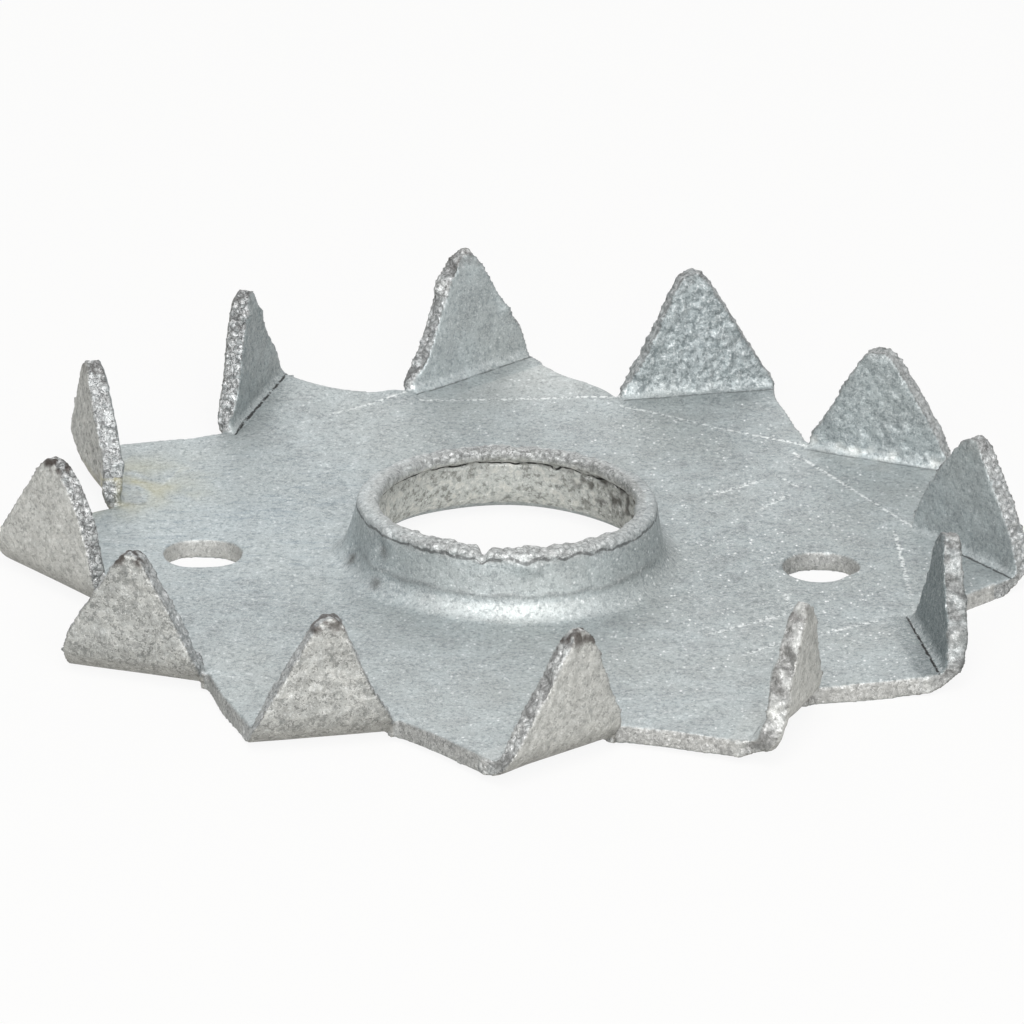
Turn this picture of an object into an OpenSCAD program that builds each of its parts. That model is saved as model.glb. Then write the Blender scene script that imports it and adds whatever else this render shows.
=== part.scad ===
// Toothed plate connector for timber joints, single-sided, for one bolt.
// One piece of pressed sheet steel: a flat plate with a drawn collar round the bolt hole,
// two nail holes, and a ring of teeth folded up square along slanted lines at its edge.
// The origin is on the bolt axis at the underside of the plate, and the teeth point up.

/* [Plate] */
// Diameter of the circle round the outermost corners
plate_d = 62; // [60:0.5:66]
// Thickness of the sheet
sheet_t = 1.2; // [1:0.05:1.4]
// Number of teeth round the edge
tooth_count = 12; // [11:1:13]
// Upward set of each corner, beyond the crease where the press pad held the plate
corner_lift = 2; // [0:0.5:5]

/* [Teeth] */
// Height from the underside of the plate to the tooth tips
tooth_h = 8.7; // [7:0.1:11]
// Width of a tooth along its fold
tooth_w = 9; // [8:0.1:9.5]
// Height up to which a tooth keeps its full width
shoulder_h = 1.4; // [1.3:0.05:1.8]
// Radius of the blunt tooth tips
tip_r = 0.9; // [0.6:0.05:1.1]
// Angle from the way a tooth faces round to its leading corner
corner_turn = 41.5; // [40:0.5:43]
// Turn of the first tooth's tip from the line through the nail holes
first_tip_turn = 6; // [0:0.5:30]
// Inside radius of the folds
fold_in_r = 0.5; // [0.5:0.1:1.3]
// Outside radius of the folds, where the sheet is stretched thin
fold_out_r = 2.8; // [2.6:0.1:3]
// Width of the slit between a tooth's end and the plate
slit_w = 0.3; // [0.2:0.05:0.5]

/* [Bolt collar] */
// Diameter of the bolt hole
bore_d = 16.4; // [12.4:0.1:20.4]
// Height of the collar's rim above the underside of the plate
collar_h = 4.6; // [3.8:0.1:6]
// Thickness of the collar's wall at the rim
rim_t = 0.9; // [0.8:0.05:1.2]
// Lean of the collar's outer wall
wall_draft = 5; // [0:0.5:8]
// Radius of the fillet from the collar to the top of the plate
collar_fillet_r = 1.3; // [1:0.1:1.8]
// Radius of the rolled entry under the collar
entry_r = 2; // [1.5:0.1:2.2]
// Radius of the rounding on the rim
rim_round_r = 0.35; // [0.2:0.05:0.4]

/* [Nail holes] */
// Diameter of a nail hole
nail_hole_d = 4.7; // [3:0.1:5.5]
// Diameter of the circle on which the two nail holes lie
nail_circle_d = 37.5; // [36:0.5:39]

/* [Hidden] */
$fn = 128;
over = 1; // overrun of cutting tools
lap = 0.5; // reach of one part of the sheet into the next
graze = 0.001; // depth at which a leaning line cuts the round that it runs into
steel = "#b4bcbe";
tooth_step = 360 / tooth_count;

// Each tooth has its own frame: x is the way it faces, y runs along its fold, and the bolt
// axis is at the origin. The fold starts at flat_x and runs from the leading corner at
// -lead_y to -notch_y, where a slit parts the tooth's end from the plate. The slit's mouth
// is as far out as the tooth's inner face, and the next corner's free edge starts there.
flat_corner_r = plate_d / 2 + shoulder_h * sin(corner_lift); // before the corners are lifted
lead_y = flat_corner_r * sin(corner_turn);
notch_y = lead_y - tooth_w;
tip_y = lead_y - tooth_w / 2;
bend_reach = sqrt(pow(fold_out_r, 2) - pow(fold_out_r - shoulder_h, 2));
flat_x = flat_corner_r * cos(corner_turn) - bend_reach;
face_x = flat_x + fold_out_r;
tip_turn = atan(tip_y / (face_x - sheet_t / 2));
lead = [flat_x, -lead_y];
slit_end = [flat_x, slit_w / 2 - notch_y];
mouth = [face_x - sheet_t, slit_w / 2 - notch_y];

// The corner is lifted about the crease from the last tooth's notch to the end of the slit.
// The tooth leans out from the corner by the angle that leaves it upright.
crease_start = turned(mouth + [slit_w, 0], -tooth_step);
crease = (slit_end - crease_start) / norm(slit_end - crease_start);
inward = [-crease.y, crease.x];
tooth_lean = corner_lift * crease.y;
tip_reach = [face_x - slit_end.x, -tip_y - slit_end.y] * -inward;
blank_h = (tooth_h - tip_reach * sin(corner_lift)) / cos(corner_lift);

// The collar's fillet touches the top of the plate and the leaning outer wall.
bore_r = bore_d / 2;
rim_out_r = bore_r + rim_t;
fillet_z = sheet_t + collar_fillet_r;
toe_r = rim_out_r + collar_fillet_r / cos(wall_draft) + (collar_h - fillet_z) * tan(wall_draft);
rim_z = collar_h - rim_round_r;
rim_out_x = rim_out_r + rim_round_r * (tan(wall_draft) - 1 / cos(wall_draft));

// Point p turned about the origin
function turned(p, angle) =
    [p.x * cos(angle) - p.y * sin(angle), p.x * sin(angle) + p.y * cos(angle)];

// Angle at which tooth i faces
function facing(i) = first_tip_turn + tip_turn + i * tooth_step;

// Flat middle of the plate. Its sides stand between the crease below and the crease on top.
module plate_outline() {
    inset = sheet_t * tan(corner_lift / 2) / 2 * inward;
    polygon([
        for (i = [0 : tooth_count - 1])
            each [turned(crease_start + inset, facing(i)), turned(slit_end + inset, facing(i))]
    ]);
}

// A corner and its tooth seen from above, run on into the plate and out over the notches
module corner_plan() {
    outer_end = mouth + turned([plate_d, 0], tooth_step / 2);
    polygon([
        crease_start, turned(outer_end, -tooth_step), outer_end, mouth, slit_end,
        slit_end + lap * (inward - crease), crease_start + lap * (inward + crease)
    ]);
}

// What the shears cut away between a tooth and the next corner: the notch and its slit
module notch() {
    polygon([
        [flat_x, -notch_y], [plate_d, -notch_y],
        turned([plate_d, lead.y], tooth_step), turned(lead, tooth_step),
        [mouth.x, slit_w - notch_y], [flat_x, slit_w - notch_y]
    ]);
    translate(slit_end) circle(d = slit_w);
}

// All that lies above a floor and behind a leaning face, seen from the centre of the round
// that joins the two
module bent_face(r) {
    translate([-plate_d, -r]) square([plate_d, 2 * tooth_h]);
    circle(r);
    rotate(-tooth_lean) translate([-r, 0]) square([2 * r - graze, 2 * tooth_h]);
}

// Section square to a fold: the sheet lies flat, turns up and stands
module fold_section() {
    thinning = fold_out_r - sheet_t - fold_in_r;
    translate([flat_x, fold_out_r]) difference() {
        bent_face(fold_out_r);
        translate([thinning * (1 - sin(tooth_lean)) / cos(tooth_lean), -thinning])
            bent_face(fold_in_r);
    }
}

// A corner seen the way its tooth faces: the sheet's edge, and the tooth's triangle above it
module corner_face() {
    tip_z = blank_h - tip_r;
    shoulder = [tooth_w / 2, shoulder_h - tip_z];
    flank_turn = 90 + atan(shoulder.y / shoulder.x) - asin(tip_r / norm(shoulder));
    flank_top = [0, tip_z] + (tip_r - graze) * [cos(flank_turn), sin(flank_turn)];
    foot = tooth_w / 2 + shoulder_h * tan(flank_turn);
    translate([-plate_d, 0]) square([2 * plate_d, sheet_t]);
    polygon([[-foot, 0], [foot, 0], flank_top, [-flank_top.x, flank_top.y]]);
    translate([0, tip_z]) circle(tip_r);
}

module corner() {
    intersection() {
        linear_extrude(2 * tooth_h) corner_plan();
        translate(slit_end) rotate(-corner_lift, crease) translate(-slit_end) intersection() {
            rotate([90, 0, 0]) linear_extrude(plate_d, center = true) fold_section();
            translate([0, -tip_y, 0]) rotate([90, 0, 90]) linear_extrude(plate_d) corner_face();
        }
    }
}

// Half section of the collar, from the rolled entry up to the rounded rim
module collar_section() {
    wall = [cos(wall_draft), sin(wall_draft)];
    difference() {
        union() {
            polygon([
                [bore_r, 0], [toe_r + lap, 0], [toe_r + lap, sheet_t], [toe_r, sheet_t],
                [toe_r, fillet_z] - (collar_fillet_r - graze) * wall,
                [rim_out_x, rim_z] + (rim_round_r - graze) * wall,
                [rim_out_x, collar_h], [bore_r + rim_round_r, collar_h], [bore_r, rim_z]
            ]);
            translate([rim_out_x, rim_z]) circle(rim_round_r);
            translate([bore_r + rim_round_r, rim_z]) circle(rim_round_r);
        }
        translate([toe_r, fillet_z]) circle(collar_fillet_r);
        translate([bore_r + entry_r, entry_r]) difference() {
            translate([-entry_r - over, -entry_r - over]) square(entry_r + over);
            circle(entry_r);
        }
    }
}

module collar() {
    rotate_extrude() collar_section();
}

// The flat middle, with room for the collar's foot
module plate() {
    difference() {
        linear_extrude(sheet_t) plate_outline();
        translate([0, 0, -over]) cylinder(r = toe_r + lap / 2, h = sheet_t + 2 * over);
    }
}

module nail_holes() {
    for (side = [-1, 1])
        translate([side * nail_circle_d / 2, 0, -over])
            cylinder(d = nail_hole_d, h = sheet_t + 2 * over);
}

module toothed_plate() {
    color(steel) {
        difference() {
            union() {
                plate();
                for (i = [0 : tooth_count - 1]) rotate(facing(i)) corner();
            }
            for (i = [0 : tooth_count - 1]) rotate(facing(i))
                translate([0, 0, -over]) linear_extrude(2 * tooth_h) notch();
            nail_holes();
        }
        collar();
    }
}

toothed_plate();
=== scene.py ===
import math
import bmesh
import bpy
import numpy as np
from mathutils import Matrix, Vector, noise


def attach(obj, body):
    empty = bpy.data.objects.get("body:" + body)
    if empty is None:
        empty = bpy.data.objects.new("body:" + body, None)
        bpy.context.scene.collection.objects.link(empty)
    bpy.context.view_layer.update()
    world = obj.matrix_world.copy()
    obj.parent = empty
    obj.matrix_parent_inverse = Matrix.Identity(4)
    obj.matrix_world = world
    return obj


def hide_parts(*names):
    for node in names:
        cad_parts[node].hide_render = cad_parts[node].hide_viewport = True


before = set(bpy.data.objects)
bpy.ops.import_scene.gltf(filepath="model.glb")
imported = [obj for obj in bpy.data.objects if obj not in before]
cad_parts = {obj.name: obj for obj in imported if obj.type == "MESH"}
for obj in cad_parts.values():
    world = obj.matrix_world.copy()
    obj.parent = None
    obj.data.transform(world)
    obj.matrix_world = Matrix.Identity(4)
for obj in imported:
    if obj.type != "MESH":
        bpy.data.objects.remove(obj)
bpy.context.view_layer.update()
print("frame loaded")

mm = 0.001


def hexToLinear(text):
    # sRGB hex to the linear colour that the sockets want
    parts = [int(text[i:i + 2], 16) / 255 for i in (1, 3, 5)]
    return [p / 12.92 if p <= 0.04045 else ((p + 0.055) / 1.055) ** 2.4 for p in parts] + [1]


def addNode(material, kind, sockets=(), **settings):
    # one node: each socket takes a value, another node's first live output, or a named output
    node = material.node_tree.nodes.new(kind)
    for key, value in settings.items():
        setattr(node, key, value)
    for key, source in dict(sockets).items():
        if isinstance(source, bpy.types.Node):
            source = next(output for output in source.outputs if output.enabled)
        if isinstance(source, bpy.types.NodeSocket):
            material.node_tree.links.new(source, node.inputs[key])
        else:
            node.inputs[key].default_value = source
    return node


# the plate's layout, as the CAD model has it, in millimetres and degrees
layout = {
    "teeth": 12,
    "firstTip": 6.0,  # turn of the first tooth's tip from the line through the nail holes
    "cornerTurn": 41.5,  # from the way a tooth faces round to its leading corner
    "outerRadius": 31.05,
    "sheet": 1.2,
    "toothWidth": 9.0,
    "toothHeight": 8.7,
    "shoulder": 1.4,  # height up to which a tooth keeps its full width
    "foldIn": 0.5,
    "foldOut": 2.8,
    "slit": 0.3,
    "collarHeight": 4.6,
    "nailReach": 18.75,  # from the bolt axis to a nail hole
}
toothStep = 360 / layout["teeth"]
leadY = layout["outerRadius"] * math.sin(math.radians(layout["cornerTurn"]))
notchY = leadY - layout["toothWidth"]
tipY = leadY - layout["toothWidth"] / 2
flatX = (layout["outerRadius"] * math.cos(math.radians(layout["cornerTurn"]))
         - math.sqrt(layout["foldOut"] ** 2 - (layout["foldOut"] - layout["shoulder"]) ** 2))
faceX = flatX + layout["foldOut"]
innerX = faceX - layout["sheet"]
tipTurn = math.degrees(math.atan(tipY / (faceX - layout["sheet"] / 2)))


def turned(points, degrees):
    # the points turned about the bolt axis
    c, s = math.cos(math.radians(degrees)), math.sin(math.radians(degrees))
    out = points.copy()
    out[:, 0] = points[:, 0] * c - points[:, 1] * s
    out[:, 1] = points[:, 0] * s + points[:, 1] * c
    return out


def facing(number):
    # the way a tooth faces, in degrees
    return layout["firstTip"] + tipTurn + toothStep * number


def smoothStep(value, low, high):
    t = np.clip((value - low) / (high - low), 0, 1)
    return t * t * (3 - 2 * t)


def bell(distance, width):
    return np.exp(-(distance / width) ** 2)


def noiseAt(points, size, seed=0, stretch=(1, 1, 1)):
    # gradient noise of that feature size in millimetres, about -1 to 1
    shift = Vector((17.3 * seed, 5.1 * seed, 9.7 * seed))
    scaled = points * np.array(stretch) / size
    return np.array([noise.noise(Vector(p) + shift) for p in scaled]) * 1.6


def beadsAt(points, size, seed=0):
    # rounded grains side by side, 1 on a grain and 0 in the gaps
    shift = Vector((11.9 * seed, 3.7 * seed, 7.3 * seed))
    gaps = [noise.voronoi(Vector(p) + shift)[0] for p in points / size]
    return np.array([min(1.0, (far - near) * 1.9) for near, far in ((g[0], g[1]) for g in gaps)])


# how each tooth of the real part strays from the drawing, counter-clockwise from the first
toothStrays = {
    # top leans out, moves along the fold and rises, mm
    "lean": (-0.1, -0.05, 1.6, 1.7, 0.1, -0.05, -0.25, 0, 0, 0, 0.5, 0.45),
    "swing": (-0.4, 0.05, -0.02, -1.5, -0.15, -0.22, 0.1, 0, 0.5, 1.05, 0, 0.1),
    "lift": (0.38, 0.18, 0.02, 0.08, 0.12, 0.45, 0.4, 0.03, 0.03, -0.08, -0.02, 0.08),
    # extra width at half height as a share, and blunting of the tip, mm
    "swell": (0.2, 0.1, 0.06, 0.03, -0.05, 0.2, 0.1, 0.05, -0.08, 0, 0, -0.1),
    "blunt": (0.2, 0.6, 0.24, 0.4, 0.06, 0.25, 0.3, 0.1, 0.05, 0.05, 0.1, 0.4),
    # drop of its corner, degrees
    "drop": (0, -0.4, -1.2, 1.1, 0.6, 0.2, 0.3, 1.4, 3.35, 1.35, -0.1, -1.1),
    # roughness of its faces
    "rough": (0.8, 1.2, 1.6, 0.5, 0.8, 1.0, 0.9, 1.05, 0.95, 0.8, 0.8, 0.9),
    # crack along the inside of its fold, and how far along the fold it starts, mm
    "crack": (0.8, 0.4, 0.5, 0.6, 1.0, 0.3, 0.3, 0.3, 0.3, 0.3, 0.3, 1.2),
    "crackFrom": (15, 0, 0, 0, 0, 0, 0, 0, 0, 0, 0, 0),
    # dullness and painted shade of its faces, or below zero freshness and painted highlight, and
    # dirt on its tip
    "dullAndPaintedLight": (0.3, 0.45, 1.05, 0.25, 0.65, 0.2, -0.4, 0.35, 0.25, -0.35, -0.35, 1.6),
    "dirt": (0.3, 0.2, 0.3, 0.4, 0.3, 0.5, 1.0, 0.9, 0.8, 0.9, 0.3, 0.3),
    # its sheared edge: crinkled beads, coarse lumps of zinc, and how warm it is
    "cells": (0.55, 0.3, 0.3, 0.75, 1.0, 0.9, 1.0, 0.4, 0.4, 0.6, 0.3, 0.2),
    "lumps": (0, 0, 0, 0.6, 0, 0, 0, 0, 0, 0.6, 1.0, 0.6),
    "warmEdge": (0, 0, 0, 0, 0, 0, 0, 0, 0, 0, 0.7, 0.7),
    # painted highlight along the inside of its fold
    "foldHighlight": (0, 1.1, 0.45, 0, 0, 0, 0, 0, 0, 0, 0, 0),
}
plateLook = {  # millimetres and degrees
    "voxel": 0.14, "triangles": 196000,  # grid of the remesh, and what is kept of it
    "slitFill": (0.8, 0.15, 1.08),  # the zinc in a slit: short of it, wider than it, its height
    "bow": (0.53, -0.12, 0.12), "bowSpan": 30, "settle": -0.17,  # the pressed plate isn't flat
    "cornerDrop": 0.3,
    "rimRaise": 0.35, "rimTilt": 0.4, "rimShift": -0.22,  # the collar stands higher in front
    "rimBead": 0.39, "rimRagged": 0.08,  # the torn rim laps inwards, unevenly
    "rimWave": 0.07, "rimWaves": (1.1, 0.45), "rimGrit": 0.1, "rimGrain": 0.5,
    "tipRound": 0.3,  # the sheet is thinner at a tip, as a share
    "faceGrit": 0.045, "faceGrain": (1.1, 0.42),  # relief, and the sizes of its grains
    "plateRipple": 0.02, "rippleSize": 6.0,
    "arrisGrit": 0.065, "arrisGrain": (0.8, 0.35),
    "edgeBead": 0.09, "beadSize": 0.45,
    "edgeGrit": 0.08, "edgeGrain": 1.1, "edgeDust": 0.04, "dustSize": 0.3,
    "lumpRise": 0.26, "lumpSize": 1.0,
    "crackDepth": 0.1, "crackWidth": 0.14, "crackFade": 1.5,
    "markDepth": 0.05, "markWidth": 0.13, "markFade": 0.8,
    "ringRise": 0.05, "ringHeight": 2.35, "ringWidth": 0.13,
    "splitDepth": 0.12, "splitBelow": 0.95, "splitWidth": 0.14,
    "lipSplitDepth": 0.06, "lipSplitBelow": 0.42,  # the same split, on the outside of the rim
    "nickTurn": -100.1, "nickWidth": 0.26, "nickDepth": 0.5,  # in the rim, in front
    "pitDepth": 0.06, "pitSize": 0.5, "spotSize": 0.4,  # pits of the bore, and darkSpots below
    "plateRough": 0.35, "plateCells": 0.2, "rimCells": 0.6,  # beside the teeth's own values
}
# tool marks on the plate, from one end to the other, mm
plateMarks = [
    (11.4, -11.2, 16.9, -7.1), (13.4, -14.0, 16.4, -11.5), (18.2, -10.4, 22.4, -7.5),
    (16.4, -4.1, 16.9, -7.2), (15.9, 13.5, 17.8, 11.2), (15.0, 7.7, 17.2, 10.6),
    (12.0, 9.6, 15.5, 12.4),
]
# places where the sheet bulges or falls short: tooth, place in its frame, size, move, all in mm;
# with no tooth the place is in the plate's own frame
sheetNudges = [
    (None, (-18.6, 2.35, 0.6), 1.5, (0, -0.2, 0)), (None, (-18.6, -2.35, 0.6), 1.5, (0, 0.38, 0)),
    (None, (-18.6, 1.9, 0), 1.6, (0, -0.2, 0)), (None, (18.6, 1.9, 0), 1.6, (0, -0.25, 0)),
    (None, (-18.75, 0, 0.6), 4.5, (0.25, 0, 0)), (None, (18.75, 0, 0.6), 4.5, (0, -0.45, 0)),
    (None, (-9.9, 0.5, 1.6), 1.8, (-0.7, 0, 0)), (None, (-8.4, -5.0, 1.6), 1.8, (-0.35, -0.15, 0)),
    (None, (9.0, 0, 4.7), 3.5, (-0.15, 0, 0)), (None, (0, 8.4, 0), 5.0, (0, 0.52, 0)),
    (None, (-5.5, 6.2, 0), 3.0, (-0.25, 0.35, 0)),
    (None, (-25.1, 6.1, 1.2), 1.8, (-0.3, 0.45, 0.1)),
    (None, (-6.6, 24.6, 1.4), 1.3, (-0.1, 0.35, 0.3)),
    (None, (5.2, 25.4, 1.2), 2.2, (-0.05, 0.35, 0.15)),
    (None, (17.8, 18.4, 1.2), 2.0, (0.1, 0.5, 0.15)),
    (None, (-18.0, 17.5, 1.2), 1.3, (-0.35, 0.2, 0)),
    (None, (-16.6, -23.6, 0.6), 2.5, (0.3, 0.25, 0)), (None, (21.0, -17.4, 0), 4.0, (0, 0, -0.12)),
    (None, (16.0, -24.0, 0.5), 1.6, (-0.15, 0.2, 0)), (None, (-12.5, 24.2, 1.2), 3.0, (0, -0.2, 0)),
    (0, (22.6, -17.0, 7.6), 1.6, (0, -0.04, 0)), (1, (22.5, -13.0, 4.0), 3.0, (0, -0.25, 0)),
    (2, (18.5, -20.9, 0.6), 2.5, (0, -0.25, 0)), (2, (22.6, -13.4, 3.5), 2.8, (0, -0.4, 0)),
    (3, (17.2, -20.9, 0.6), 3.0, (0, 0.25, 0)), (3, (22.9, -20.0, 2.6), 2.0, (0, -0.4, 0)),
    (3, (23.6, -12.8, 2.8), 2.2, (-0.2, -0.15, 0)), (4, (22.5, -17.6, 8.0), 1.2, (0, 0.3, 0)),
    (4, (17.2, -20.9, 0.6), 3.0, (0, 0.6, 0)), (4, (22.9, -19.8, 2.8), 2.4, (0, -1.0, 0)),
    (4, (23.8, -12.5, 3.0), 3.2, (-0.25, 0, 0)), (5, (22.2, -12.5, 3.0), 2.4, (-0.6, 0, 0)),
    (5, (22.2, -14.5, 5.5), 2.4, (-0.3, 0, 0)), (5, (23.3, -14.0, 1.5), 2.2, (-0.3, 0, 0)),
    (6, (23.0, -13.5, 4.5), 2.2, (0, 0.5, 0)), (6, (23.0, -12.0, 2.0), 2.2, (0, 0.3, 0)),
    (6, (22.9, -16.0, 5.0), 4.0, (0, 0.2, 0)), (6, (22.8, -14.6, 6.3), 1.8, (0, 0.45, 0)),
    (3, (22.8, -17.2, 7.6), 1.6, (0, 0.15, 0)), (3, (23.0, -11.6, 1.1), 1.2, (0, 0.45, 0)),
    (2, (22.6, -11.8, 0.8), 1.2, (0, 0.5, 0)), (2, (22.8, -20.0, 2.2), 1.6, (0, -0.1, 0)),
    (2, (22.8, -20.5, 0.9), 1.2, (0, -0.35, 0)), (None, (19.6, -2.2, 1.0), 1.5, (-0.1, 0.25, 0)),
    (7, (22.4, -20.6, 1.0), 1.8, (0, 0.4, 0)), (7, (23.8, -20.2, 1.2), 0.8, (-0.2, 0.35, 0)),
    (8, (22.4, -20.6, 1.0), 2.0, (0, 0.48, 0)), (9, (17.2, -20.9, 0.6), 3.0, (0, 0.2, 0)),
    (9, (22.8, -20.3, 0.3), 1.5, (0.22, 0.1, 0)), (10, (17.2, -20.9, 0.6), 3.0, (0, 0.15, 0)),
    (10, (23.4, -19.5, 1.8), 1.8, (0.35, 0, 0)), (10, (22.9, -18.5, 0.4), 1.7, (-0.7, 0.05, 0.3)),
    (11, (23.8, -19.0, 3.6), 2.4, (0.2, 0, 0)), (11, (23.2, -20.0, 0.2), 1.5, (-0.2, 0, 0)),
    (11, (24.0, -17.4, 0.4), 1.6, (-0.15, 0, 0.06)), (None, (3.0, 26.5, 1.2), 3.0, (0, -0.12, 0)),
    (None, (20.5, -1.4, 1.2), 1.0, (-0.3, 0.2, 0)), (None, (-3.6, -7.3, 4.6), 2.0, (0, 0.16, 0)),
    (None, (3.6, -7.3, 4.6), 2.2, (0, 0.14, 0)), (3, (22.9, -13.8, 7.4), 1.0, (0, 0.22, 0)),
    (3, (22.6, -15.4, 8.5), 1.2, (0, 0.18, 0)), (3, (22.6, -20.9, 0.8), 0.9, (0, 0.3, 0)),
    (4, (23.4, -12.4, 1.5), 1.6, (0, -0.3, 0)), (5, (22.9, -12.0, 0.6), 1.3, (0, 0.5, 0)),
]
# burrs and lumps of zinc: tooth, place in its frame, size, rise, all in mm
zincLumps = [
    (3, 22.9, -20.3, 6.9, 0.45, 0.35), (3, 22.9, -20.5, 6.4, 0.35, 0.25),
    (4, 22.6, -14.9, 7.6, 0.5, 0.35), (3, 23.6, -13.6, 7.2, 0.5, 0.4),
    (3, 23.4, -13.3, 6.6, 0.35, 0.3), (2, 22.4, -20.4, 4.2, 0.6, 0.3),
    (2, 22.8, -12.6, 4.4, 0.7, 0.3), (2, 22.9, -12.0, 2.9, 0.6, 0.25),
    (11, 22.9, -19.7, 3.4, 0.5, 0.35), (11, 22.9, -20.4, 2.0, 0.5, 0.3),
    (10, 22.9, -18.8, 4.6, 0.6, 0.3), (10, 22.9, -20.2, 1.8, 0.6, 0.35),
    (5, 22.7, -19.4, 6.4, 0.4, 0.2), (9, 23.0, -19.0, 4.4, 0.5, 0.2),
    (10, 23.3, -19.2, 3.6, 0.5, 0.3), (10, 22.6, -18.4, 5.2, 0.45, 0.22),
    (10, 23.2, -20.6, 1.0, 0.5, 0.3), (10, 22.6, -19.6, 2.6, 0.35, -0.3),
    (10, 23.0, -17.6, 6.6, 0.5, 0.2), (11, 23.2, -18.6, 5.2, 0.5, 0.22),
    (3, 22.5, -18.9, 4.6, 0.5, 0.25), (3, 22.9, -20.6, 3.2, 0.6, 0.25),
    (3, 22.7, -19.4, 5.6, 0.35, -0.25), (4, 22.6, -17.5, 6.9, 0.35, 0.3),
    (3, 23.0, -14.7, 7.0, 0.4, 0.35), (3, 23.2, -14.2, 6.5, 0.4, 0.25),
    (3, 22.9, -19.0, 5.4, 0.35, 0.25), (4, 22.9, -18.4, 6.9, 0.4, 0.3),
    (4, 22.9, -17.5, 7.9, 0.4, 0.2), (4, 22.8, -14.2, 5.4, 0.4, 0.25),
    (4, 22.7, -13.5, 4.2, 0.35, 0.2),
]
# burrs on the collar: turn in degrees, distance from the axis, height, size and rise in mm
rimBurrs = [
    (-84, 9.1, 3.9, 0.4, 0.28), (-80, 9.1, 3.75, 0.3, 0.24), (-88, 9.1, 4.0, 0.35, 0.15),
    (-143, 9.0, 4.2, 0.45, 0.3), (-146, 9.0, 3.6, 0.35, -0.25), (56, 8.2, 0.15, 0.3, 0.35),
    (-70, 9.0, 4.3, 0.35, 0.15), (-120, 9.0, 4.3, 0.4, 0.15),
]
# duller, or below zero fresher, areas of the plate: x, y and size in mm, amount
plateTones = [
    (14, -1, 9.0, 0.5), (-14, -9, 6.0, 0.5), (0, 16, 7.0, 0.3), (1, 27, 4.5, -0.5),
    (14, 17, 5.0, 0.2), (-13.5, 8.5, 5.0, 0.3),
]
# yellowish stains: x, y, size and the height that they reach up to in mm, amount
plateStains = [(-22, 10.5, 3.2, 2.2, 1.0), (-25.0, 6.9, 1.5, 2.8, 1.3)]
# small dark nicks where the zinc is missing, mm
darkSpots = [
    (-7.4, -5.3, 3.9), (-9.6, -2.0, 1.9), (-8.0, -5.6, 1.9), (4.6, 6.9, 0.0), (-17.3, 17.9, 2.1),
    (-17.9, 18.0, 2.3),
]

# the zinced sheet, remeshed on a fine grid so that its surface can be worked
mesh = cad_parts["toothed_plate"].data.copy()
mesh.name = "zincPlate"
plate = bpy.data.objects.new("zincPlate", mesh)
bpy.context.scene.collection.objects.link(plate)
work = bmesh.new()
work.from_mesh(mesh)
bmesh.ops.remove_doubles(work, verts=work.verts, dist=0.002 * mm)
fillShort, fillOverlap, fillHeight = plateLook["slitFill"]
for number in range(layout["teeth"]):
    # the bath has filled each slit with zinc
    filler = bmesh.ops.create_cube(work, size=mm)["verts"]
    size = (faceX - flatX - fillShort, layout["slit"] + fillOverlap, fillHeight)
    centre = Vector(((flatX + innerX) / 2, layout["slit"] / 2 - notchY, layout["sheet"] / 2)) * mm
    turn = Matrix.Rotation(math.radians(facing(number)), 3, "Z")
    bmesh.ops.scale(work, vec=size, verts=filler)
    bmesh.ops.translate(work, vec=centre, verts=filler)
    bmesh.ops.rotate(work, cent=(0, 0, 0), matrix=turn, verts=filler)
work.to_mesh(mesh)
work.free()


def applyModifiers(thing):
    evaluated = thing.evaluated_get(bpy.context.evaluated_depsgraph_get())
    thing.data = bpy.data.meshes.new_from_object(evaluated)
    thing.modifiers.clear()


remesh = plate.modifiers.new("grid", "REMESH")
remesh.mode = "VOXEL"
remesh.voxel_size = plateLook["voxel"] * mm
applyModifiers(plate)
print("plate remeshed:", len(plate.data.vertices), "vertices")

count = len(plate.data.vertices)
points = np.empty(count * 3)
plate.data.vertices.foreach_get("co", points)
points = points.reshape(-1, 3) / mm
normals = np.empty(count * 3)
plate.data.vertex_normals.foreach_get("vector", normals)
normals = normals.reshape(-1, 3)
radius = np.hypot(points[:, 0], points[:, 1])
angle = np.degrees(np.arctan2(points[:, 1], points[:, 0]))

# which tooth and which lifted corner each point belongs to, and the way the sheet faces there
creaseStart = turned(np.array([[innerX, -notchY]]), -toothStep)[0]
creaseEnd = np.array([flatX, -notchY])
crease = (creaseEnd - creaseStart) / np.linalg.norm(creaseEnd - creaseStart)
outward = np.array([crease[1], -crease[0]])
toothOf = np.full(count, -1)
cornerOf = np.full(count, -1)
beyond = np.zeros(count)
local = np.zeros((count, 3))
sheetNormal = np.tile([0.0, 0.0, 1.0], (count, 1))
localNormal = normals.copy()
for number in range(layout["teeth"]):
    inFrame = turned(points, -facing(number))
    ahead = (angle - layout["firstTip"] - toothStep * number + 180) % 360 - 180
    onTooth = ((inFrame[:, 0] > flatX - 0.2) & (inFrame[:, 1] > -leadY - 0.5)
               & (inFrame[:, 1] < -notchY + 0.15) & (np.abs(ahead) < 20))
    toothOf[onTooth] = number
    local[onTooth] = inFrame[onTooth]
    localNormal[onTooth] = turned(normals[onTooth], -facing(number))
    past = (inFrame[:, :2] - creaseEnd) @ outward  # how far past the crease, mm
    inCorner = (past > 0) & (((ahead > -23.3) & (ahead < 6.9)) | onTooth) & (np.abs(ahead) < 25)
    cornerOf[inCorner] = number
    beyond[inCorner] = past[inCorner]
onTooth = toothOf >= 0
onPlate = ~onTooth
below = onTooth & (local[:, 2] < layout["foldOut"])
fromArc = local[:, [0, 2]] - np.array([flatX, layout["foldOut"]])
fromArc /= np.maximum(np.linalg.norm(fromArc, axis=1, keepdims=True), 1e-6)
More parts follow.
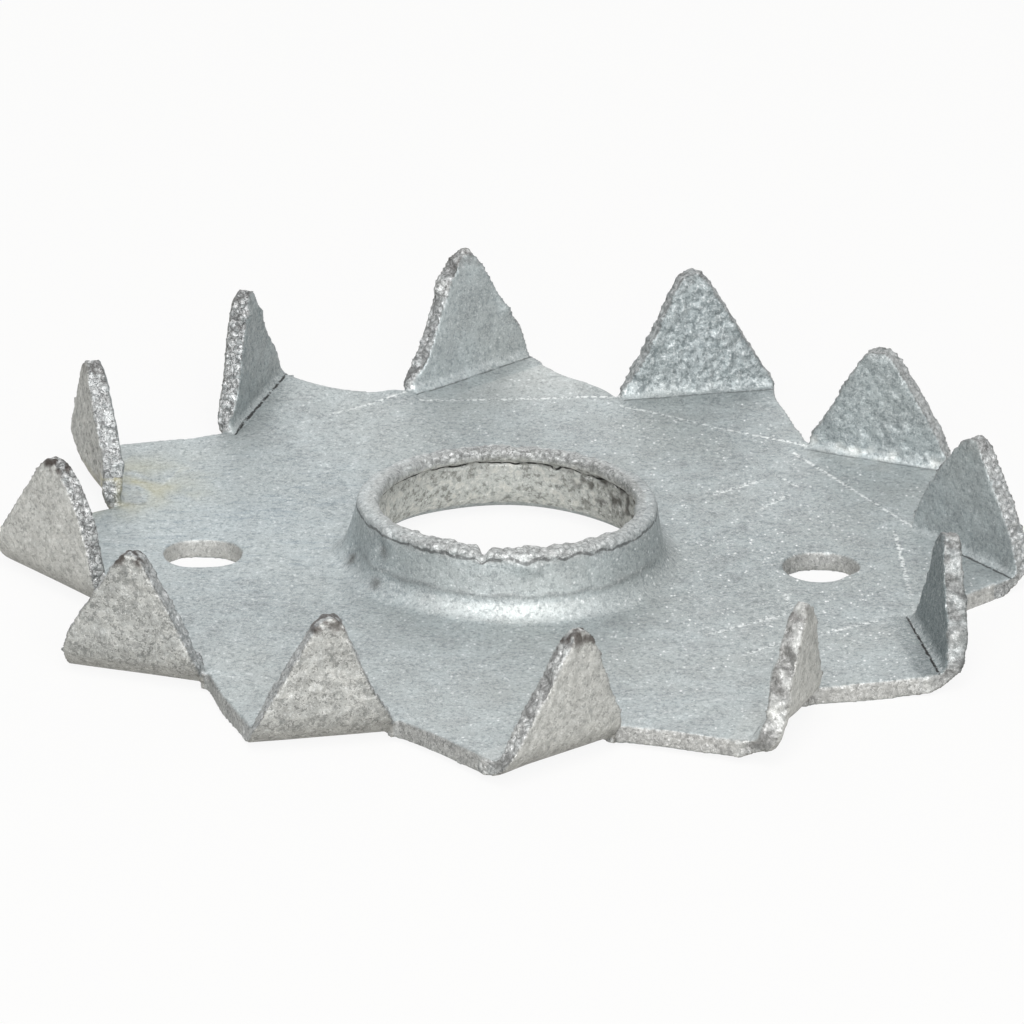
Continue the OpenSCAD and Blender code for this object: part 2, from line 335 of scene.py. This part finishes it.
sheetNormal[onTooth] = [1, 0, 0]
sheetNormal[below] = np.stack([fromArc[below, 0], np.zeros(below.sum()), fromArc[below, 1]], 1)
facesOut = (localNormal * sheetNormal).sum(1)
outside = onTooth & (facesOut > 0.5)
inside = onTooth & ~outside
edge = (1 - smoothStep(np.abs(facesOut), 0.3, 0.8)) * (radius > 12)  # 1 on the sheared edges
nailHole = np.hypot(np.abs(points[:, 0]) - layout["nailReach"], points[:, 1]) < 3.2
height = points[:, 2].copy()
blade = np.clip((height - 1) / (layout["toothHeight"] - 1), 0, 1.2) * onTooth  # 0 to 1 up a tooth


def ofTooth(name, elsewhere=0.0):
    # each point's value from its tooth's column
    return np.where(onTooth, np.array(toothStrays[name], float)[toothOf], elsewhere)


rough = ofTooth("rough", plateLook["plateRough"])
print("plate mapped")

# surface: grit on the faces, zinc beads and shear marks on the sheared edges
push = np.zeros(count)
teethOnly = onTooth & (height > 1.5)
coarse, fine = plateLook["faceGrain"]
push[teethOnly] += rough[teethOnly] * plateLook["faceGrit"] * (
    0.75 * noiseAt(points[teethOnly], coarse, 1) + noiseAt(points[teethOnly], fine, 2))
push += plateLook["plateRipple"] * noiseAt(points, plateLook["rippleSize"], 3) * (radius > 10)
arris = np.clip(5 * edge * (1 - edge), 0, 1)  # 1 where an edge meets a face
atArris = arris > 0.1
coarse, fine = plateLook["arrisGrain"]
push[atArris] += arris[atArris] * plateLook["arrisGrit"] * (
    noiseAt(points[atArris], coarse, 16) + 0.5 * noiseAt(points[atArris], fine, 17)
) * np.where(onTooth[atArris], 1, 0.4)
beaded = edge > 0.02
# on a sheared edge the grains are longer through the sheet
sheared = np.where(onTooth[:, None], local * [0.55, 1, 1], points * [1, 1, 0.55])[beaded]
beads = np.zeros(count)
beads[beaded] = beadsAt(sheared, plateLook["beadSize"], 4)
relief = (plateLook["edgeBead"] * (beads[beaded] - 0.5)
          + plateLook["edgeGrit"] * noiseAt(sheared, plateLook["edgeGrain"], 5)
          + plateLook["edgeDust"] * noiseAt(sheared, plateLook["dustSize"], 6))
push[beaded] += edge[beaded] * relief * np.where(onTooth[beaded], 1.0, 0.4)
lumps = np.zeros(count)
lumpsOf = ofTooth("lumps")
lumpy = beaded & (lumpsOf > 0)
lumpNoise = noiseAt(local[lumpy], plateLook["lumpSize"], 18, (0.8, 1, 1))
lumps[lumpy] = edge[lumpy] * lumpNoise * lumpsOf[lumpy]
push += plateLook["lumpRise"] * lumps

# folds: a thin crack along the inside, where the zinc has split
crackFrom = ofTooth("crackFrom")
crackEnd = crackFrom + plateLook["crackFade"]
cracked = ofTooth("crack") * smoothStep(-local[:, 1], crackFrom, crackEnd)
nearFold = inside & (height > 0.9) & (height < 2.2) & (edge < 0.4)
crackZone = smoothStep(2.2 - height, 0, 0.4) * nearFold * cracked
crackGap = np.hypot(local[:, 0] - innerX + layout["foldIn"], height - layout["sheet"])
push -= plateLook["crackDepth"] * bell(crackGap, plateLook["crackWidth"]) * crackZone

# tool marks on the plate
topSide = (normals[:, 2] > 0.8) & (height < 1.8) & (radius > 14)
fade = plateLook["markFade"]
mark = np.zeros(count)
for x0, y0, x1, y1 in plateMarks:
    start, run = np.array([x0, y0]), np.array([x1 - x0, y1 - y0])
    length = np.linalg.norm(run)
    run = run / length
    offset = points[topSide][:, :2] - start
    along, gap = offset @ run, np.abs(offset @ np.array([-run[1], run[0]]))
    ends = smoothStep(along, 0, fade) * (1 - smoothStep(along, length - fade, length))
    mark[topSide] = np.maximum(mark[topSide], bell(gap, plateLook["markWidth"]) * ends)
push -= plateLook["markDepth"] * mark

# collar: torn bead on the rim, a drawing ring on the wall, a nick and burrs in front
top = layout["collarHeight"]
nearRim = (radius < 9.9) & (height > top - 1.6)
beadShare = smoothStep(height, top - 1.0, top - 0.6) * (1 - smoothStep(radius, 8.5, 9.1)) * nearRim
ragged = np.zeros(count)
coarse, fine = plateLook["rimWaves"]
ragged[nearRim] = noiseAt(points[nearRim], coarse, 10) + 0.6 * noiseAt(points[nearRim], fine, 11)
rimGrains = np.zeros(count)
rimGrains[nearRim] = beadsAt(points[nearRim], plateLook["rimGrain"], 12)
nick = bell((angle - plateLook["nickTurn"]) * 0.14, plateLook["nickWidth"]) * nearRim
lap = plateLook["rimBead"] + plateLook["rimRagged"] * ragged
inwardPush = beadShare * lap * (1 - 0.9 * nick)
onRim = smoothStep(height, top - 0.75, top - 0.25) * nearRim
sideways = (points[:, 0] / np.maximum(radius, 1)) ** 2  # 1 at the left and right of the collar
tornRim = onRim * (1 - 0.75 * sideways)
push += tornRim * (plateLook["rimWave"] * ragged + plateLook["rimGrit"] * (rimGrains - 0.5))
wallFoot = (radius > 8.9) & (radius < 10.8) & (height > 1.6) & (height < 3.2)
wander = 0.12 * noiseAt(points[wallFoot], 1.6, 19)
ring = np.zeros(count)
ring[wallFoot] = (bell(height[wallFoot] - plateLook["ringHeight"] - wander, plateLook["ringWidth"])
                  * smoothStep(-points[wallFoot, 1], 1, 6))
push += plateLook["ringRise"] * ring

# a split in the bore below the rim at the back, which the torn bead laps over on the outside; its
# near-black colour is partly painted shade under the bead
back = smoothStep(angle, 15, 40) * (1 - smoothStep(angle, 155, 172))  # by its turn in degrees
splitGap = height - (top - plateLook["splitBelow"]) - 0.15 * ragged
inBore = radius < 8.7
splitZone = back * inBore * nearRim
push -= plateLook["splitDepth"] * bell(splitGap, plateLook["splitWidth"]) * splitZone
onLip = (radius > 8.75) & nearRim
lipGap = height - (top - plateLook["lipSplitBelow"]) - 0.12 * ragged
splitGap = np.where(onLip, lipGap, splitGap)
splitZone = np.where(onLip, 0.6 * smoothStep(-points[:, 1], -6, -1), splitZone)
push -= plateLook["lipSplitDepth"] * bell(splitGap, plateLook["splitWidth"]) * splitZone * onLip
boreWall = inBore & (height > 0.3) & (height < top - 0.7)
pitted = np.zeros(count)
pitted[boreWall] = smoothStep(noiseAt(points[boreWall], plateLook["pitSize"], 13), -0.1, 0.6)
pitArea = (smoothStep(angle, -5, 15) * (1 - smoothStep(angle, 50, 75)) * boreWall
           * smoothStep(height, 1.2, 2.6))
push -= plateLook["pitDepth"] * pitted * pitArea

points += normals * push[:, None]
points[:, :2] *= (1 - inwardPush / np.maximum(radius, 1))[:, None]
points[:, 2] -= plateLook["nickDepth"] * nick * onRim


def near(centre, size):
    # 1 at the centre, falling off over that many millimetres
    return bell(np.linalg.norm(points - centre, axis=1), size)


for number, x, y, z, size, rise in zincLumps:
    centre = turned(np.array([[x, y, z]]), facing(number))[0]
    points += normals * (rise * near(centre, size))[:, None]
for turn, away, z, size, rise in rimBurrs:
    turn = math.radians(turn)
    centre = np.array([away * math.cos(turn), away * math.sin(turn), z])
    points += normals * (rise * near(centre, size))[:, None]
for number, centre, size, move in sheetNudges:
    turn = 0 if number is None else facing(number)
    centre, move = turned(np.array([centre, move], float), turn)
    points += move * near(centre, size)[:, None]
print("surface worked")

# shape: corners, collar, teeth, then the bow of the whole plate
cornerDrops = np.array(toothStrays["drop"])[cornerOf]
drop = np.where(cornerOf >= 0, plateLook["cornerDrop"] + cornerDrops, 0)
points[:, 2] -= np.tan(np.radians(drop)) * beyond
rise = plateLook["rimRaise"] - plateLook["rimTilt"] * points[:, 1] / 9
upCollar = (radius < 11) * np.clip((height - layout["sheet"]) / 3.2, 0, 1.1)
points[:, 2] += rise * upCollar
points[:, 0] += plateLook["rimShift"] * upCollar
middle = (faceX + innerX) / 2
for number in range(layout["teeth"]):
    lean, swing, lift, swell, blunt = [
        toothStrays[name][number] for name in ("lean", "swing", "lift", "swell", "blunt")]
    own = toothOf == number
    part = turned(points[own], -facing(number))
    up = blade[own]
    part[:, 1] = -tipY + (part[:, 1] + tipY) * (1 + swell * np.sin(np.pi * np.clip(up, 0, 1)))
    thinning = 1 - plateLook["tipRound"] * np.clip((up - 0.84) / 0.16, 0, 1) ** 2
    part[:, 0] = middle + (part[:, 0] - middle) * thinning
    part[:, 0] += lean * up
    part[:, 1] += swing * up
    part[:, 2] += lift * up - blunt * np.clip((up - 0.75) / 0.25, 0, 1) ** 2
    points[own] = turned(part, facing(number))
acrossX, acrossY = points[:, 0] / plateLook["bowSpan"], points[:, 1] / plateLook["bowSpan"]
bow = plateLook["bow"]
points[:, 2] += (bow[0] * (1 - acrossX ** 2) + bow[1] * (1 - acrossY ** 2)
                 + bow[2] * acrossX * acrossY + plateLook["settle"])
print("plate shaped")

# what the finish follows: sheared edges, dark splits and pits, stained zinc, faces that look out,
# and painted light and shade
x, y = points[:, 0], points[:, 1]


def nearSpot(spotX, spotY, size):
    # 1 at a spot seen from above, falling off over that many millimetres
    return bell(np.hypot(x - spotX, y - spotY), size)


grime = np.zeros(count)
dirty = (height > 6.9) & onTooth
dirtLine = height[dirty] + 0.3 * noiseAt(points[dirty], 0.8, 14)
grime[dirty] = (smoothStep(dirtLine, 7.5, 8.3) * ofTooth("dirt")[dirty]
                * smoothStep(noiseAt(points[dirty], 0.45, 20), -0.5, 0.1))
# each tooth's dullness is partly painted shade where its faces turn from the light, and below zero
# partly painted highlight
dullAndPaintedLight = ofTooth("dullAndPaintedLight") * np.clip(height - 0.8, 0, 1) * (1 - 0.4 * edge)
for spotX, spotY, size, amount in plateTones:
    dullAndPaintedLight += amount * nearSpot(spotX, spotY, size) * onPlate
dullAndPaintedLight -= 0.35 * onRim + 0.6 * edge * onPlate * (radius > 22) * (x - 12) / 25
dullAndPaintedLight -= 0.3 * edge * nailHole * (x < 0)
# the collar's fillet and front wall catch more light, its sides less
atFillet = (radius > 9.4) & (radius < 11.2) & (height > 1.25)
dullAndPaintedLight -= 0.32 * bell(height - 1.75, 0.6) * smoothStep(-y, 6, 9.5) * atFillet
dullAndPaintedLight -= 0.3 * bell(height - 3.0, 1.0) * smoothStep(-y, 5, 8.5) * (radius > 8.8) * (radius < 10.5)
# painted highlight along the inside of the folds
foldHighlightOf = ofTooth("foldHighlight")
lit = inside & (foldHighlightOf > 0) & (edge < 0.5)
foldHighlight = np.zeros(count)
foldHighlight[lit] = smoothStep(noiseAt(points[lit], 0.7, 21), -0.7, 0.5) * foldHighlightOf[lit]
dullAndPaintedLight -= bell(height - 1.7, 0.45) * foldHighlight
sideways = (x / np.maximum(radius, 1)) ** 2
dullAndPaintedLight += 0.18 * ((radius > 8.8) & (radius < 10.8) & (height > 1.7)) * sideways
# painted highlight on raised lumps of zinc
dullAndPaintedLight -= 0.6 * smoothStep(lumps, 0.1, 0.5)
cells = (edge * ofTooth("cells", plateLook["plateCells"]) * ~nailHole
         + plateLook["rimCells"] * tornRim)
stain = np.zeros(count)
for spotX, spotY, size, upTo, amount in plateStains:
    stain += amount * nearSpot(spotX, spotY, size) * (height < upTo)
stainSpots = np.zeros(count)
stained = stain > 0.02
patchy = smoothStep(noiseAt(points[stained], 1.4, 15), -0.6, 0.6)
stainSpots[stained] = np.minimum(stain[stained] * patchy, 1)
nicks = sum(near(spot, plateLook["spotSize"]) for spot in darkSpots)
# painted shade high in the bore under the lapped rim, and the bore darker towards the right
boreTopShade = 0.5 * smoothStep(height, 2.4, 3.8)
boreRight = 0.7 * smoothStep(-np.abs(angle - 25), -35, -15)
masks = {
    "shear": np.clip(edge + 0.7 * tornRim, 0, 1),
    "cells": np.clip(cells, 0, 1),
    # dark between grains, and painted shade in the dents of the lumps
    "gap": np.clip(np.clip((0.4 - beads) * 2.5, 0, 1) * edge * cells
                   + np.clip((0.4 - rimGrains) * 2, 0, 1) * tornRim
                   + 1.5 * smoothStep(-lumps, 0.05, 0.4), 0, 1),
    # painted shade along the arrises, which damps their highlight, and a dark line on the drawing
    # ring
    "arris": np.clip(arris * np.where(teethOnly, 1, 0.3) + 0.6 * ring, 0, 1),
    # dullness that is partly painted shade, and freshness that is partly painted highlight
    "dullAndPaintedLight": np.clip(dullAndPaintedLight, 0, 1.6),
    "freshAndHighlight": np.clip(-dullAndPaintedLight, 0, 1),
    # painted shade low on the outer faces near the floor, and in the bore
    "low": np.clip(outside * smoothStep(2.6 - height, 0, 2)
                   + inBore * (boreTopShade + boreRight), 0, 1),
    "mark": mark,
    "grime": np.clip(grime, 0, 1),
    "stain": stainSpots,
    "warm": np.clip(outside + edge * (height < 1.6) * onPlate + edge * ofTooth("warmEdge"), 0, 1),
    # the bore is painted lighter: painted light against its own shade
    "borePaintedLight": inBore * smoothStep(height, 0.2, 0.8) * (1 - onRim),
    "pits": np.clip(pitted * pitArea + nicks, 0, 1),
    "rough": np.clip(rough - 0.7, 0, 1) * teethOnly,
    # painted glints, more of them towards the right of the plate
    "paintedGlintAmount": np.clip(0.7 + x / 50, 0.25, 1) * (1 - 0.6 * onTooth),
    "pale": nearSpot(-17, 5, 11.0) * onPlate,
    "creased": 0.2 + 0.8 * smoothStep(angle, -20, 5) * (1 - smoothStep(angle, 105, 125)),
    "crackZone": crackZone,
    "splitZone": splitZone,
    "splitGap": splitGap,
}
plate.data.vertices.foreach_set("co", (points * mm).ravel())
for name, values in masks.items():
    attribute = plate.data.attributes.new(name, "FLOAT", "POINT")
    attribute.data.foreach_set("value", values.astype(np.float32))
plate.data.update()
thin = plate.modifiers.new("thin", "DECIMATE")
thin.ratio = plateLook["triangles"] / (2 * len(plate.data.polygons))
applyModifiers(plate)
plate.data.name = "zincPlate"
for face in plate.data.polygons:
    face.use_smooth = True
print("plate finished:", len(plate.data.polygons), "triangles")

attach(plate, "root")
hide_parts("toothed_plate")


def galvanisedSteel():
    # hot-dip galvanised steel: zinc from the bath, matte blue-grey on top, mottled, with a fine
    # crinkle with painted glints and painted shade; warmer where the faces look out, beaded and
    # brighter on sheared edges, with painted highlight on the beads
    steel = bpy.data.materials.new("hotDipGalvanisedSteel")
    steel.use_nodes = True
    steel.node_tree.nodes.clear()
    place = addNode(steel, "ShaderNodeTexCoord").outputs["Object"]
    mask = {name: addNode(steel, "ShaderNodeAttribute", attribute_name=name) for name in masks}

    # cloudy patches, runs, crystals and crinkle of the zinc, by their sizes in millimetres; the
    # crinkle is drawn coarser than the real one, so that it shows
    along = addNode(steel, "ShaderNodeVectorMath", {0: place, 1: (0.22, 1, 1)},
                    operation="MULTIPLY")
    cloud = {}
    for name, where, size, detail, roughness in (
            ("patch", place, 6.0, 2.0, 0.5), ("mottle", place, 1.7, 5.0, 0.65),
            ("cloudy", place, 0.85, 5.0, 0.7), ("runs", along, 0.5, 3.0, 0.6),
            ("streak", place, 0.6, 4.0, 0.7), ("grain", place, 0.3, 3.0, 0.75),
            ("crinkle", place, 0.14, 2.0, 0.7)):
        cloud[name] = addNode(steel, "ShaderNodeTexNoise", {
            "Vector": where, "Scale": 1 / (size * mm), "Detail": detail, "Roughness": roughness})
    bent = addNode(steel, "ShaderNodeVectorMath", {
        0: cloud["streak"].outputs["Color"], "Scale": 0.25 * mm}, operation="SCALE")
    bent = addNode(steel, "ShaderNodeVectorMath", {0: place, 1: bent}, operation="ADD")
    cells = addNode(steel, "ShaderNodeTexVoronoi", {"Vector": bent, "Scale": 1 / (0.42 * mm)},
                    feature="DISTANCE_TO_EDGE")
    longer = addNode(steel, "ShaderNodeVectorMath", {0: bent, 1: (1, 0.6, 1)}, operation="MULTIPLY")
    glintCells = addNode(steel, "ShaderNodeTexVoronoi", {"Vector": longer, "Scale": 1 / (0.34 * mm)})

    # creases and fold cracks repeat with the teeth, so they are drawn in one tooth's frame
    axes = addNode(steel, "ShaderNodeSeparateXYZ", {0: place}).outputs
    mouthTurn = math.atan2(-notchY, innerX)
    turn = addNode(steel, "ShaderNodeMath", {0: axes[1], 1: axes[0]}, operation="ARCTAN2")
    turn = addNode(steel, "ShaderNodeMath", {0: turn, 1: math.radians(facing(0))},
                   operation="SUBTRACT")
    turn = addNode(steel, "ShaderNodeMath", {
        0: turn, 1: mouthTurn, 2: mouthTurn - math.radians(toothStep)}, operation="WRAP")
    flat = addNode(steel, "ShaderNodeVectorMath", {0: place, 1: (1, 1, 0)}, operation="MULTIPLY")
    reach = addNode(steel, "ShaderNodeVectorMath", {0: flat}, operation="LENGTH").outputs["Value"]
    cosine = addNode(steel, "ShaderNodeMath", {0: turn}, operation="COSINE")
    sine = addNode(steel, "ShaderNodeMath", {0: turn}, operation="SINE")
    ahead = addNode(steel, "ShaderNodeMath", {0: reach, 1: cosine}, operation="MULTIPLY")
    aside = addNode(steel, "ShaderNodeMath", {0: reach, 1: sine}, operation="MULTIPLY")
    inTooth = addNode(steel, "ShaderNodeCombineXYZ", {0: ahead, 1: aside})
    lines = {}
    for name, origin, way, wander in (
            ("crease", creaseEnd, outward, 0.1),
            ("crack", (innerX - layout["foldIn"], 0), (1, 0), 0.35)):
        gap = addNode(steel, "ShaderNodeVectorMath", {
            0: inTooth, 1: Vector((origin[0], origin[1], 0)) * mm}, operation="SUBTRACT")
        gap = addNode(steel, "ShaderNodeVectorMath", {
            0: gap, 1: (way[0], way[1], 0)}, operation="DOT_PRODUCT").outputs["Value"]
        sway = addNode(steel, "ShaderNodeMath", {
            0: cloud["streak"], 1: wander * mm, 2: -0.5 * wander * mm}, operation="MULTIPLY_ADD")
        gap = addNode(steel, "ShaderNodeMath", {0: gap, 1: sway}, operation="ADD")
        lines[name] = addNode(steel, "ShaderNodeMath", {0: gap}, operation="ABSOLUTE")
    splitLine = addNode(steel, "ShaderNodeMath", {0: mask["splitGap"]}, operation="ABSOLUTE")

    # thin winding ridges: where a cloud passes through one level
    ridge = {}
    for name, source, level, width in (
            ("bright", cloud["streak"], 0.5, 0.02), ("dark", cloud["streak"], 0.455, 0.02),
            ("worm", cloud["grain"], 0.5, 0.03), ("wormShade", cloud["grain"], 0.43, 0.03)):
        ridge[name] = addNode(steel, "ShaderNodeMath", {0: source, 1: level, 2: width},
                              operation="COMPARE")

    # each share runs from none at the first value to full at the second
    share = {}
    for name, source, none, full in (
            ("patch", cloud["patch"], 0.4, 0.7), ("mottle", cloud["mottle"], 0.35, 0.65),
            ("light", cloud["cloudy"], 0.5, 0.64), ("murk", cloud["cloudy"], 0.5, 0.36),
            ("fineLight", cloud["streak"], 0.52, 0.6), ("fineMurk", cloud["streak"], 0.48, 0.4),
            ("run", cloud["runs"], 0.46, 0.36), ("dots", cloud["grain"], 0.46, 0.56),
            ("speck", cloud["grain"], 0.58, 0.66), ("pore", cloud["grain"], 0.42, 0.34),
            ("glint", cloud["crinkle"], 0.58, 0.68), ("shade", cloud["crinkle"], 0.42, 0.32),
            ("crease", lines["crease"], 0.18 * mm, 0.06 * mm),
            ("crack", lines["crack"], 0.1 * mm, 0.04 * mm), ("splitAndShade", splitLine, 0.1, 0.05),
            ("torn", cloud["streak"], 0.38, 0.46), ("seam", cells, 0.13, 0.04),
            ("bead", cells, 0.2, 0.34), ("paintedGlint", glintCells, 0.28, 0.12),
            ("cluster", cloud["cloudy"], 0.46, 0.6)):
        share[name] = addNode(steel, "ShaderNodeMapRange", {0: source, 1: none, 2: full})

    # two patterns, or a pattern and the place it keeps to, taken together
    both = {}
    for name, first, second in (
            ("crease", share["crease"], share["dots"]), ("mark", mask["mark"], share["dots"]),
            ("crack", share["crack"], mask["crackZone"]),
            ("splitAndShade", share["splitAndShade"], mask["splitZone"]),
            ("warmLight", mask["warm"], share["light"]), ("warmMurk", mask["warm"], share["murk"]),
            ("warmBright", mask["warm"], ridge["bright"]),
            ("warmDark", mask["warm"], ridge["dark"]),
            ("shearSeam", mask["cells"], share["seam"]),
            ("shearBead", mask["cells"], share["bead"]),
            ("shearBright", mask["cells"], ridge["bright"]),
            ("shearDark", mask["cells"], ridge["dark"]),
            ("boreMurk", mask["borePaintedLight"], share["fineMurk"]),
            ("boreLight", mask["borePaintedLight"], share["fineLight"]),
            ("roughMurk", mask["rough"], share["fineMurk"]),
            ("roughLight", mask["rough"], share["fineLight"]),
            ("crumple", mask["rough"], cloud["streak"]),
            ("paintedGlint", share["paintedGlint"], share["cluster"]), ("run", mask["pale"], share["run"])):
        both[name] = addNode(steel, "ShaderNodeMath", {0: first, 1: second}, operation="MULTIPLY")
    for name, third in (("crack", share["torn"]), ("splitAndShade", share["torn"]),
                        ("crease", mask["creased"]), ("paintedGlint", mask["paintedGlintAmount"])):
        both[name] = addNode(steel, "ShaderNodeMath", {0: both[name], 1: third},
                             operation="MULTIPLY")

    # the zinc's colour, and what is laid over it in turn: colour, where, how strongly
    zinc = hexToLinear("#979d9e")
    for colour, part, strength in (
            ("#aeb6b7", share["mottle"], 1.0), ("#a3a8a6", share["patch"], 0.5),
            ("#b4bfc3", mask["pale"], 0.4), ("#84929a", both["run"], 0.5),
            ("#a4a39e", mask["warm"], 0.85), ("#cccbc6", both["warmLight"], 0.6),
            ("#787671", both["warmMurk"], 0.55), ("#e4e4e0", both["warmBright"], 0.3),
            # the bore's lighter colour is painted light against its shade
            ("#5d5b57", both["warmDark"], 0.3), ("#c5c8c4", mask["borePaintedLight"], 0.9),
            ("#7d7b73", both["boreMurk"], 0.6), ("#dfddd5", both["boreLight"], 0.5),
            ("#5f676a", both["roughMurk"], 0.3), ("#dfe4e5", both["roughLight"], 0.35),
            # the dull colour is partly painted shade, and the fresh colour below is partly painted
            # highlight
            ("#a9a9a8", mask["shear"], 0.5), ("#5a6567", mask["dullAndPaintedLight"], 0.5),
            # the low colour is painted shade
            ("#cfd0cc", mask["freshAndHighlight"], 0.8), ("#6f6d67", mask["low"], 0.45),
            ("#f2f5f5", share["speck"], 0.3), ("#586063", share["pore"], 0.3),
            # painted highlight and painted shade on the crinkle
            ("#ffffff", share["glint"], 0.24), ("#454c4f", share["shade"], 0.22),
            # the white sparks are painted glints
            ("#ffffff", both["paintedGlint"], 0.75), ("#f4f6f6", ridge["worm"], 0.12),
            # white on the sheared-edge beads is painted highlight
            ("#4c5356", ridge["wormShade"], 0.14), ("#ffffff", both["shearBead"], 0.5),
            ("#403f40", both["shearSeam"], 0.6), ("#ffffff", both["shearBright"], 0.4),
            # the gap colour is partly painted shade in the dents of the lumps
            ("#3c3a3c", both["shearDark"], 0.5), ("#4c4a48", mask["gap"], 0.5),
            # the arris colour is painted shade
            ("#4f4d4a", mask["arris"], 0.55), ("#f1f3f2", both["crease"], 0.7),
            ("#f4f6f5", both["mark"], 0.75), ("#b4ad86", mask["stain"], 0.66),
            ("#35302a", mask["pits"], 0.8), ("#2e221b", mask["grime"], 0.9),
            # the split's near-black is partly painted shade under the lapped rim
            ("#1a1a19", both["crack"], 0.95), ("#141413", both["splitAndShade"], 0.97)):
        amount = addNode(steel, "ShaderNodeMath", {0: part, 1: strength}, operation="MULTIPLY")
        zinc = addNode(steel, "ShaderNodeMix", {0: amount, 6: zinc, 7: hexToLinear(colour)},
                       data_type="RGBA")

    relief = None
    for height, strength, depth in (
            (cloud["grain"], 0.7, 0.05), (cloud["crinkle"], 0.5, 0.025),
            (both["shearBead"], 0.8, 0.07), (both["crumple"], 0.8, 0.1)):
        sockets = {"Height": height, "Strength": strength, "Distance": depth * mm}
        if relief:
            sockets["Normal"] = relief
        relief = addNode(steel, "ShaderNodeBump", sockets)
    roughness = addNode(steel, "ShaderNodeMapRange", {
        0: cloud["grain"], 1: 0.35, 2: 0.7, 3: 0.66, 4: 0.45})
    # part oxide and part metal, so it is only partly metallic
    surface = addNode(steel, "ShaderNodeBsdfPrincipled", {
        "Base Color": zinc, "Normal": relief, "Roughness": roughness, "Metallic": 0.6})
    addNode(steel, "ShaderNodeOutputMaterial", {"Surface": surface})
    return steel


plate.data.materials.clear()
plate.data.materials.append(galvanisedSteel())

# floor, world, lamps and camera
studio = {
    "floorSeen": 0.9, "floorGloss": 0.42,  # share of plain white that the eye and gloss see
    "floorColour": "#dcdad5", "floorReach": 3, "roomLight": 0.35,
    "lamps": {  # place in metres, size, power
        "topSoftbox": ((0.0, -0.22, 0.5), 0.22, 0.82),
        "frontSoftbox": ((0.03, -1.0, 0.6), 1.1, 14.5),
        "backSoftbox": ((-0.15, 0.9, 0.5), 0.8, 1.4),
    },
}
cameraSetup = {
    "azimuth": -0.55, "elevation": 23.72, "roll": 1.28,  # degrees
    "distance": 0.9,  # metres
    "aim": (0.0, 0.0, 4.31), "lens": 525.5, "sensor": 36,  # mm
    "farClip": 20,
}
floorMesh = bpy.data.meshes.new("floor")
work = bmesh.new()
bmesh.ops.create_grid(work, x_segments=1, y_segments=1, size=studio["floorReach"])
work.to_mesh(floorMesh)
work.free()
floor = bpy.data.objects.new("floor", floorMesh)
bpy.context.scene.collection.objects.link(floor)


def whiteShare(material, seen, gloss):
    # how much of plain white each kind of ray is shown
    rays = addNode(material, "ShaderNodeLightPath").outputs
    bounced = addNode(material, "ShaderNodeMath", {
        0: rays["Is Glossy Ray"], 1: rays["Is Transmission Ray"]}, operation="MAXIMUM")
    bounced = addNode(material, "ShaderNodeMath", {0: bounced, 1: gloss}, operation="MULTIPLY")
    direct = addNode(material, "ShaderNodeMath", {
        0: rays["Is Camera Ray"], 1: seen}, operation="MULTIPLY")
    return addNode(material, "ShaderNodeMath", {0: bounced, 1: direct}, operation="MAXIMUM")


def paperWhite():
    # a white paper sweep that shows as plain white, with a little of the shadow left
    paper = bpy.data.materials.new("whitePaperSweep")
    paper.use_nodes = True
    paper.node_tree.nodes.clear()
    matte = addNode(paper, "ShaderNodeBsdfDiffuse", {"Color": hexToLinear(studio["floorColour"])})
    glow = addNode(paper, "ShaderNodeEmission", {"Strength": 1.0})
    share = whiteShare(paper, studio["floorSeen"], studio["floorGloss"])
    mixed = addNode(paper, "ShaderNodeMixShader", {0: share, 1: matte, 2: glow})
    addNode(paper, "ShaderNodeOutputMaterial", {0: mixed})
    return paper


floorMesh.materials.append(paperWhite())

world = bpy.data.worlds.new("studio")
bpy.context.scene.world = world
world.use_nodes = True
world.node_tree.nodes.clear()
roomLight = addNode(world, "ShaderNodeBackground", {
    "Color": (1, 1, 1, 1), "Strength": studio["roomLight"]})
white = addNode(world, "ShaderNodeBackground", {"Color": (1, 1, 1, 1), "Strength": 1.0})
room = addNode(world, "ShaderNodeMixShader", {
    0: whiteShare(world, 1.0, 1.0), 1: roomLight, 2: white})
addNode(world, "ShaderNodeOutputWorld", {0: room})


def addLamp(name, place, size, power):
    # a square softbox that looks at the plate
    data = bpy.data.lights.new(name, "AREA")
    data.shape = "SQUARE"
    data.size = size
    data.energy = power
    lamp = bpy.data.objects.new(name, data)
    lamp.location = place
    lamp.rotation_euler = (-Vector(place)).to_track_quat("-Z", "Y").to_euler()
    bpy.context.scene.collection.objects.link(lamp)


for name, (place, size, power) in studio["lamps"].items():
    addLamp(name, place, size, power)


def addCamera():
    # it looks at the aim, which turns with it about the bolt axis, and rolls about its own axis
    turn = math.radians(cameraSetup["azimuth"])
    rise = math.radians(cameraSetup["elevation"])
    roll = math.radians(cameraSetup["roll"])
    back = Vector((math.sin(turn) * math.cos(rise), -math.cos(turn) * math.cos(rise),
                   math.sin(rise)))
    level = (-back).cross(Vector((0, 0, 1))).normalized()
    upright = level.cross(-back)
    right = level * math.cos(roll) + upright * math.sin(roll)
    up = upright * math.cos(roll) - level * math.sin(roll)
    data = bpy.data.cameras.new("camera")
    data.lens = cameraSetup["lens"]
    data.sensor_width = cameraSetup["sensor"]
    data.clip_end = cameraSetup["farClip"]
    camera = bpy.data.objects.new("camera", data)
    axes = Matrix((right, up, back)).transposed().to_4x4()
    aim = Matrix.Rotation(turn, 3, "Z") @ Vector(cameraSetup["aim"]) * mm
    camera.matrix_world = Matrix.Translation(aim + back * cameraSetup["distance"]) @ axes
    bpy.context.scene.collection.objects.link(camera)
    bpy.context.scene.camera = camera


addCamera()
bpy.context.scene.view_settings.view_transform = "Standard"
print("scene lit")
